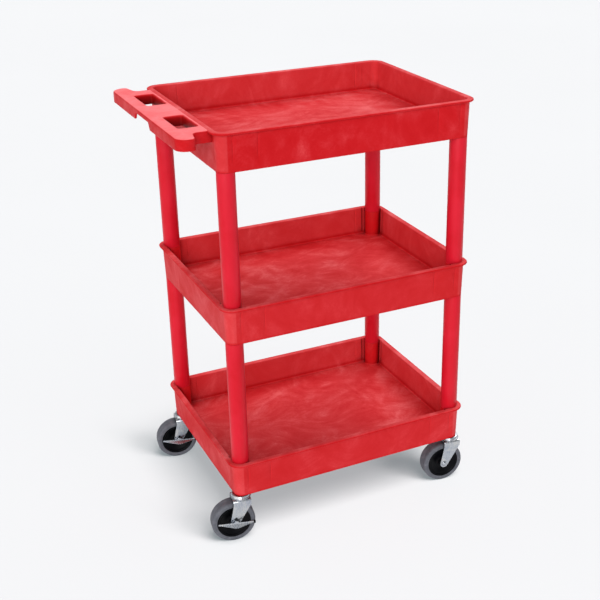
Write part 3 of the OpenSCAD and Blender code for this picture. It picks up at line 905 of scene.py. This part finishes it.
def tyre_ring(caster):
    """Tread ring with round shoulders, a bead line on each side and the mould's parting line."""
    half = caster.span("tyre")[1]
    radius = caster.axle.z
    one_side = [(CORE_R, half - 0.6), (CORE_R + 0.6, half - 0.2), (CORE_R + 1.6, half),
                (CORE_R + 2.4, half - 0.5), (CORE_R + 3.0, half - 0.5),
                (CORE_R + 3.8, half - 0.1), (CORE_R + 5.2, half - 0.1)]
    one_side += arc(radius - 5.2, half - 5.2, 5.1, 84, 2, 10)
    one_side += [(radius, half - 7), (radius, 1), (radius - 0.3, 0.3)]
    outline = one_side + [(r, -h) for r, h in reversed(one_side)]
    bm = bmesh.new()
    lathe(bm, outline, WHEEL_STEPS, caster.wheel)
    caster.make("tread", bm, "wheel", "tyre", "tyre")


def wheel_disc(caster):
    """Moulded wheel body: rim lip, dished web with two steps, and the hub."""
    half = caster.span("tyre")[1]
    hub = caster.span("wheel_core")[1]
    one_side = [(BORE_R, hub - 0.4), (BORE_R + 0.5, hub), (HUB_R - 1, hub),
                (HUB_R - 0.2, hub - 0.4), (HUB_R, hub - 1.2), (HUB_R + 0.2, half - 5.2),
                (HUB_R + 1.6, half - 6), (18, half - 6.2), (19, half - 5.4), (28, half - 4.9),
                (29, half - 4.1), (CORE_R - 6, half - 3.4), (CORE_R - 4.8, half - 1.8),
                (CORE_R - 4, half - 1.1), (CORE_R - 0.5, half - 0.9), (CORE_R, half - 1.3)]
    outline = one_side + [(r, -h) for r, h in reversed(one_side)]
    bm = bmesh.new()
    lathe(bm, outline, WHEEL_STEPS, caster.wheel)
    caster.make("disc", bm, "wheel", "black_plastic", "wheel_core")


def race_cup(caster):
    """Upper ball race: a pressed cup with a rolled rim, a step and a flat top."""
    low, high = frame_box("race_cap_" + caster.corner)
    r = (high.x - low.x) / 2
    bottom, top = low.z, high.z
    roof = bottom + RACE_ROOF
    outline = [(STEM_R, roof), (RACE_R - 1, roof), (RACE_R, roof - 0.8), (RACE_R, bottom + 0.3),
               (RACE_R + 0.4, bottom), (r - 0.5, bottom), (r, bottom + 0.5), (r, bottom + 1.5),
               (r - 0.4, bottom + 2.1), (r - 1.3, bottom + 2.3), (r - 1.9, bottom + 2.8),
               (r - 2.1, top - 2.2), (r - 2.6, top - 1.0), (r - 3.7, top - 0.25), (r - 5, top),
               (STEM_R, top)]
    bm = bmesh.new()
    lathe(bm, outline, TUBE_STEPS, Matrix.Translation((caster.pin.x, caster.pin.y, 0)))
    caster.make("race_cup", bm, "cart", "zinc_steel", "race_cap", sharp=50)


def ball_ring(caster):
    """The swivel's balls, between the race cup and the fork's track."""
    low, high = frame_box("swivel_balls_" + caster.corner)
    radius = (high.z - low.z) / 2
    balls = frame["nodes"]["swivel_balls_" + caster.corner].data.vertices
    ring = max((v.co / MM - caster.pin).to_2d().length for v in balls) - radius
    bm = bmesh.new()
    for forward, side in circle(ring, BALLS):
        place = Matrix.Translation(caster.point(forward, side, (low.z + high.z) / 2))
        bmesh.ops.create_uvsphere(bm, u_segments=24, v_segments=14, radius=radius, matrix=place)
    caster.make("balls", bm, "fork", "zinc_steel", "swivel_balls")


def fork_reach(caster, z):
    """How far back and forward a fork leg reaches at a height.

    The leg has a round foot about the axle, straight tapers that touch it, and a square top.
    """
    foot = Vector((-caster.trail, caster.axle.z))
    square = frame_box("fork_" + caster.corner)[1].z - TRACK_RISE - FORK_SQUARE
    reach = []
    for x, side in ((-caster.trail - FORK_BACK, 1), (FORK_FRONT, -1)):
        away = Vector((x, square)) - foot
        turn = math.atan2(away.y, away.x) + side * math.acos(FORK_FOOT_R / away.length)
        touch = foot + FORK_FOOT_R * Vector((math.cos(turn), math.sin(turn)))
        if z >= square:
            reach.append(x)
        elif z >= touch.y:
            reach.append(touch.x + (x - touch.x) * (z - touch.y) / (square - touch.y))
        else:
            reach.append(foot.x - side * math.sqrt(max(0, FORK_FOOT_R ** 2 - (z - foot.y) ** 2)))
    return reach


def fork_stations(caster):
    """Places along the bent strip, from one foot over the crown to the other.

    Each is (side, z, normal, back, front).
    """
    half = caster.span("bushing")[1] + FORK_PLAY + FORK_T
    top = frame_box("fork_" + caster.corner)[1].z - TRACK_RISE
    foot = caster.axle.z - FORK_FOOT_R
    heights = [foot + FORK_FOOT_R * (1 - math.cos(math.radians(a))) for a in range(12, 100, 8)]
    square = top - FORK_SQUARE
    heights += [heights[-1] + (square - heights[-1]) * k / 8 for k in range(1, 9)]
    heights += [top - 8, top - FORK_BEND]
    leg = [(half, z, (1, 0), *fork_reach(caster, z)) for z in heights]
    for k in range(1, 7):
        a = math.radians(15 * k)
        y = half - FORK_BEND + FORK_BEND * math.cos(a)
        z = top - FORK_BEND + FORK_BEND * math.sin(a)
        leg.append((y, z, (math.cos(a), math.sin(a)), *fork_reach(caster, z)))
    crown = []
    flat = half - FORK_BEND
    for k in range(1, 16):
        y = flat * (1 - k / 8)
        round_reach = math.sqrt(CROWN_R ** 2 - y ** 2)
        back = min(-caster.trail - FORK_BACK, -round_reach)
        crown.append((y, top, (0, 1), back, max(FORK_FRONT, round_reach)))
    mirrored = [(-y, z, (-n[0], n[1]), back, front) for y, z, n, back, front in reversed(leg)]
    return leg + crown + mirrored


def fork_strip(caster):
    """The fork: one bent strip of steel with eased edges, and the ball track on its crown."""
    rings = []
    e, t = FORK_EDGE, FORK_T
    for y, z, normal, back, front in fork_stations(caster):
        corners = [(front - e, 0), (front - 0.3 * e, 0.3 * e), (front, e), (front, t - e),
                   (front - 0.3 * e, t - 0.3 * e), (front - e, t), (back + e, t),
                   (back + 0.3 * e, t - 0.3 * e), (back, t - e), (back, e),
                   (back + 0.3 * e, 0.3 * e), (back + e, 0)]
        rings.append([caster.point(x, y - normal[0] * d, z - normal[1] * d) for x, d in corners])
    bm = bmesh.new()
    made = join_rings(bm, rings)
    bm.faces.new(made[0])
    bm.faces.new(made[-1])
    top = frame_box("fork_" + caster.corner)[1].z
    bore = STEM_R + HOLE_PLAY
    track = [(bore, top - TRACK_RISE - 0.4), (TRACK_R, top - TRACK_RISE - 0.4),
             (TRACK_R, top - 0.3), (TRACK_R - 0.3, top), (bore, top)]
    lathe(bm, track, ROUND_STEPS, Matrix.Translation((caster.pin.x, caster.pin.y, 0)))
    pin = Matrix.Translation((caster.pin.x, caster.pin.y, top))
    axle_hole = (SHANK_R + HOLE_PLAY, AXLE_DRILL, caster.wheel)
    bm = drilled(bm, (bore, CROWN_DRILL, pin), axle_hole)
    caster.make("fork_strip", bm, "fork", "zinc_steel", "fork")


def bolt_and_nut(caster):
    """Axle bolt with a stepped round head, and the hexagon lock nut on its other end."""
    low, high = caster.span("axle_bolt")
    nut_low, nut_high = caster.span("axle_nut")
    head = -1 if nut_low + nut_high > 0 else 1
    outer = high if head > 0 else -low
    end = -low if head > 0 else high
    mirror = Matrix.Diagonal((1, 1, head, 1))
    seat = outer - HEAD_T
    outline = [(SHANK_R - 0.6, -end), (SHANK_R, -end + 0.6), (SHANK_R, seat), (HEAD_R - 0.2, seat),
               (HEAD_R, seat + 0.3), (HEAD_R, seat + 1.1), (HEAD_R - 0.5, seat + 1.6),
               (5.1, seat + 1.8), (4.8, seat + 1.2), (4.3, seat + 1.2), (4.1, seat + 2.3),
               (3.3, seat + 2.9), (1.9, outer - 0.08), (0.6, outer)]
    bm = bmesh.new()
    lathe(bm, outline, BOLT_STEPS, caster.wheel @ mirror, closed=False)
    caster.make("bolt", bm, "fork", "zinc_steel", "axle_bolt")
    near, far = sorted((abs(nut_low), abs(nut_high)))
    place = caster.wheel @ mirror @ Matrix.Diagonal((1, 1, -1, 1))
    bm = bmesh.new()
    prism(bm, circle(NUT_R, 6), near, near + (far - near) * NUT_BODY, 0.5, place)
    collar = near + (far - near) * NUT_COLLAR
    lathe(bm, [(SHANK_R + 0.05, collar), (COLLAR_R, collar), (COLLAR_R, far - 0.8),
               (COLLAR_R - 0.4, far - 0.2), (COLLAR_R - 0.9, far), (SHANK_R + 0.05, far)],
          BOLT_STEPS, place)
    caster.make("nut", bm, "fork", "zinc_steel", "axle_nut")


def drilled(bm, *holes):
    """Cuts round holes through a closed mesh, each (radius, half length, place) along its Z."""
    cutter = bmesh.new()
    for radius, half, place in holes:
        lathe(cutter, [(radius, -half), (radius, half)], ROUND_STEPS, place, closed=False)
    made = []
    for part in (bm, cutter):
        bmesh.ops.recalc_face_normals(part, faces=part.faces)
        mesh = bpy.data.meshes.new("drilling")
        part.to_mesh(mesh)
        part.free()
        made.append(bpy.data.objects.new("drilling", mesh))
        bpy.context.scene.collection.objects.link(made[-1])
    cut = made[0].modifiers.new("holes", "BOOLEAN")
    cut.operation, cut.solver, cut.use_self, cut.object = "DIFFERENCE", "EXACT", True, made[1]
    result = bmesh.new()
    result.from_object(made[0], bpy.context.evaluated_depsgraph_get())
    for spent in made:
        mesh = spent.data
        bpy.data.objects.remove(spent)
        bpy.data.meshes.remove(mesh)
    bmesh.ops.remove_doubles(result, verts=result.verts, dist=0.001)
    return result


def eased(caster, name, body, slot, node, edge):
    """A pressing or moulding of the CAD node's own shape, with its sharp edges rounded over."""
    bm = bmesh.new()
    bm.from_mesh(frame["nodes"][node + "_" + caster.corner].data)
    bmesh.ops.scale(bm, vec=(1 / MM, 1 / MM, 1 / MM), verts=bm.verts)
    bmesh.ops.remove_doubles(bm, verts=bm.verts, dist=WELD)
    facet, eased_from = math.radians(FACET_ANGLE), math.radians(EASED_ANGLE)
    bmesh.ops.dissolve_limit(bm, angle_limit=facet, verts=bm.verts, edges=bm.edges)
    folds = [e for e in bm.edges if len(e.link_faces) == 2]
    folds = [e for e in folds if e.calc_face_angle() > eased_from]
    bmesh.ops.bevel(bm, geom=folds, offset=edge, segments=2, profile=0.5, affect="EDGES",
                    clamp_overlap=True)
    bmesh.ops.triangulate(bm, faces=[f for f in bm.faces if len(f.verts) > 4])
    caster.make(name, bm, body, slot, node, sharp=40)


def build_casters():
    for corner in CORNERS:
        caster = Caster(corner)
        tyre_ring(caster)
        wheel_disc(caster)
        race_cup(caster)
        ball_ring(caster)
        fork_strip(caster)
        bolt_and_nut(caster)
        if corner in BRAKED:
            eased(caster, "pedal", "brake", "zinc_steel", "brake_lever", 0.35)
            eased(caster, "pedal_tip", "brake", "black_plastic", "lever_tip", 0.5)


build_casters()


# ---------------------------------------------------------------- floor, light and camera


# In metres. The backdrop stands a little inside the floor's edge and reaches below it.
GROUND_HALF = 30
BACKDROP_R = GROUND_HALF * 0.95
BACKDROP_FOOT = -0.01
BACKDROP_HIGH = 14


def stage_piece(name, bm, material):
    mesh = bpy.data.meshes.new(name)
    bm.to_mesh(mesh)
    bm.free()
    mesh.materials.append(material)
    made = bpy.data.objects.new(name, mesh)
    bpy.context.scene.collection.objects.link(made)
    return made


def floor():
    bm = bmesh.new()
    bmesh.ops.create_grid(bm, x_segments=8, y_segments=8, size=GROUND_HALF)
    return stage_piece("studio_floor", bm, floor_paint())


def backdrop():
    """Round wall far behind the cart, as bright as the floor. It sheds no light and no shadow."""
    glow = Shader("backdrop_glow")
    glow.set(Base_Color=(0, 0, 0, 1), Specular_IOR_Level=0.0)
    glow.set(Emission_Color=(0.915, 0.925, 0.940, 1), Emission_Strength=1.0)
    bm = bmesh.new()
    turn = circle(BACKDROP_R, TUBE_STEPS)
    join_rings(bm, [[(x, y, z) for x, y in turn] for z in (BACKDROP_FOOT, BACKDROP_HIGH)])
    wall = stage_piece("studio_backdrop", bm, glow.material)
    wall.visible_diffuse = wall.visible_glossy = False
    wall.visible_transmission = wall.visible_shadow = False


WHEEL_PIECES = ("tread_", "disc_", "race_cup_", "fork_strip_", "pedal_")
LOW_PIECES = (*WHEEL_PIECES, "moulded_bottom_tub")


def sun(name, source, power, spread, ground, blockers=None):
    """Broad soft light that shines from source towards the origin.

    It lights everything but the floor. With blockers it lights the floor alone, and only pieces
    whose names start with one of them cast its shadow. Power is in W/m2 and spread in degrees.
    """
    data = bpy.data.lights.new(name, "SUN")
    data.energy = power
    data.angle = math.radians(spread)
    light = bpy.data.objects.new(name, data)
    light.rotation_euler = Vector(source).to_track_quat("Z", "Y").to_euler()
    bpy.context.scene.collection.objects.link(light)
    lit = bpy.data.collections.new(name + "_lights")
    lit.objects.link(ground)
    lit.collection_objects[0].light_linking.link_state = "INCLUDE" if blockers else "EXCLUDE"
    light.light_linking.receiver_collection = lit
    if blockers:
        shading = bpy.data.collections.new(name + "_blockers")
        for made in bpy.data.objects:
            if made.name.startswith(blockers):
                shading.objects.link(made)
        light.light_linking.blocker_collection = shading


def studio(ground):
    world = bpy.data.worlds.new("studio")
    world.use_nodes = True
    sky = world.node_tree.nodes["Background"]
    sky.inputs["Color"].default_value = (0.97, 0.98, 1.0, 1)
    sky.inputs["Strength"].default_value = 0.50
    bpy.context.scene.world = world
    sun("floor_overhead", (0.07, -0.50, 0.90), 11.5, 42, ground, LOW_PIECES)
    sun("floor_side", (0.88, -1.40, 1.00), 6.4, 24, ground, WHEEL_PIECES)
    sun("front_key", (-0.42, -0.80, 0.36), 1.42, 30, ground)
    sun("back_key", (0.62, 0.42, 0.80), 1.75, 40, ground)
    sun("low_fill", (-0.80, -0.35, 0.26), 1.05, 60, ground)
    bpy.context.scene.view_settings.view_transform = "Standard"


def camera():
    """Camera where the photo was taken from, as fitted to the cart's rims and legs.

    It looks 23.8 degrees down from the -Y side, 26.2 degrees round towards -X.
    """
    eye = (-0.9628, -2.2037, 1.5594)
    tilt, turn, roll = 0.4159, -0.4570, -0.0080
    level = math.cos(tilt)
    back = Vector((math.sin(turn) * level, -math.cos(turn) * level, math.sin(tilt)))
    right = (-back).cross(Vector((0, 0, 1))).normalized()
    up = back.cross(right)
    rolled_right = math.cos(roll) * right + math.sin(roll) * up
    rolled_up = -math.sin(roll) * right + math.cos(roll) * up
    data = bpy.data.cameras.new("camera")
    data.sensor_width = 36
    data.lens = 65.98
    data.shift_x = -0.0694
    data.shift_y = -0.0186
    made = bpy.data.objects.new("camera", data)
    turned = Matrix((rolled_right, rolled_up, back)).transposed().to_4x4()
    made.matrix_world = Matrix.Translation(eye) @ turned
    bpy.context.scene.collection.objects.link(made)
    bpy.context.scene.camera = made


studio(floor())
backdrop()
camera()
